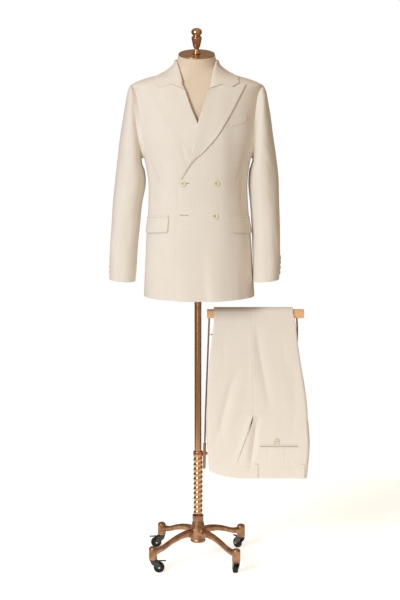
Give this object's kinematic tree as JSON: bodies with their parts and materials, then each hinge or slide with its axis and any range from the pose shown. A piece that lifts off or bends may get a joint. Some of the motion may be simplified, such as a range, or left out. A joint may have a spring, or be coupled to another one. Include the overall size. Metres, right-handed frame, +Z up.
{
  "type": "two-piece suit on a dress form stand with a trouser rail",
  "caption": "Cream double-breasted jacket on a hollow limbless dress form with a wheeled screw stand, its trousers folded upside down over a wooden rail at the side.",
  "frame": {"origin": "on the floor under the middle of the whole part's bounding box", "axes": "+Z up; the wearer of the jacket faces -Y and the wearer's left is +X, the side of the trouser rail"},
  "size_m": [0.6515, 0.3209, 1.7432],
  "materials": {
    "linen_cloth": "cream linen and silk suiting, plain weave with fine slubs",
    "horn_buttons": "polished pale horn",
    "calico_form": "moulded shell covered in ecru calico",
    "copper_steel": "satin copper plate",
    "copper_casting": "aged copper plate on a casting",
    "beech": "clear-varnished beech",
    "black_steel": "black enamel",
    "black_rubber": "matt black tread"
  },
  "bodies": {
    "base": {"base": "copper_casting"},
    "mast": {"front_left": "linen_cloth", "front_right": "linen_cloth", "side_left": "linen_cloth", "side_right": "linen_cloth", "back_left": "linen_cloth", "back_right": "linen_cloth", "lapel_left": "linen_cloth", "lapel_right": "linen_cloth", "collar": "linen_cloth", "flap_left": "linen_cloth", "flap_right": "linen_cloth", "jet_left": "linen_cloth", "jet_right": "linen_cloth", "breast_welt": "linen_cloth", "sleeve_top_left": "linen_cloth", "sleeve_under_left": "linen_cloth", "sleeve_top_right": "linen_cloth", "sleeve_under_right": "linen_cloth", "trouser_front_right": "linen_cloth", "trouser_back_right": "linen_cloth", "trouser_front_left": "linen_cloth", "trouser_back_left": "linen_cloth", "waistband_right": "linen_cloth", "waistband_left": "linen_cloth", "belt_loop_side": "linen_cloth", "belt_loop_back": "linen_cloth", "back_pocket_jet": "linen_cloth", "button_top_right": "horn_buttons", "button_top_left": "horn_buttons", "button_low_left": "horn_buttons", "back_pocket_button": "horn_buttons", "cuff_button_left_1": "horn_buttons", "cuff_button_left_2": "horn_buttons", "cuff_button_left_3": "horn_buttons", "cuff_button_left_4": "horn_buttons", "cuff_button_right_1": "horn_buttons", "cuff_button_right_2": "horn_buttons", "cuff_button_right_3": "horn_buttons", "cuff_button_right_4": "horn_buttons", "form": "calico_form", "neck_cap": "copper_steel", "finial": "copper_steel", "pole": "copper_steel", "screw": "copper_steel", "rail_rod_left": "copper_steel", "rail_rod_right": "copper_steel", "rail_rod_cross": "copper_steel", "rail_clamp": "copper_steel", "rail_bar": "beech"},
    "swivel_back_left": {"fork_back_left": "black_steel"},
    "wheel_back_left": {"wheel_back_left": "black_rubber"},
    "swivel_back_right": {"fork_back_right": "black_steel"},
    "wheel_back_right": {"wheel_back_right": "black_rubber"},
    "swivel_front_right": {"fork_front_right": "black_steel"},
    "wheel_front_right": {"wheel_front_right": "black_rubber"},
    "swivel_front_left": {"fork_front_left": "black_steel"},
    "wheel_front_left": {"wheel_front_left": "black_rubber"}
  },
  "joints": [
    {"name": "pole_height", "type": "slide", "parent": "base", "child": "mast", "axis": [0, 0, 1], "range_m": [-0.04, 0.06]},
    {"name": "swivel_back_left", "type": "hinge", "parent": "base", "child": "swivel_back_left", "pos_m": [0.10667, 0.12244, 0.043], "axis": [0, 0, 1], "continuous": true},
    {"name": "roll_back_left", "type": "hinge", "parent": "swivel_back_left", "child": "wheel_back_left", "pos_m": [0.09548, 0.13841, 0.01765], "axis": [-0.8191, -0.5736, 0], "continuous": true},
    {"name": "swivel_back_right", "type": "hinge", "parent": "base", "child": "swivel_back_right", "pos_m": [-0.16254, 0.14457, 0.043], "axis": [0, 0, 1], "continuous": true},
    {"name": "roll_back_right", "type": "hinge", "parent": "swivel_back_right", "child": "wheel_back_right", "pos_m": [-0.18174, 0.14118, 0.01765], "axis": [0.1736, -0.9848, 0], "continuous": true},
    {"name": "swivel_front_right", "type": "hinge", "parent": "base", "child": "swivel_front_right", "pos_m": [-0.18467, -0.12464, 0.043], "axis": [0, 0, 1], "continuous": true},
    {"name": "roll_front_right", "type": "hinge", "parent": "swivel_front_right", "child": "wheel_front_right", "pos_m": [-0.16522, -0.12328, 0.01765], "axis": [-0.0698, 0.9976, 0], "continuous": true},
    {"name": "swivel_front_left", "type": "hinge", "parent": "base", "child": "swivel_front_left", "pos_m": [0.08454, -0.14677, 0.043], "axis": [0, 0, 1], "continuous": true},
    {"name": "roll_front_left", "type": "hinge", "parent": "swivel_front_left", "child": "wheel_front_left", "pos_m": [0.08182, -0.12746, 0.01765], "axis": [-0.9903, -0.1392, 0], "continuous": true}
  ]
}
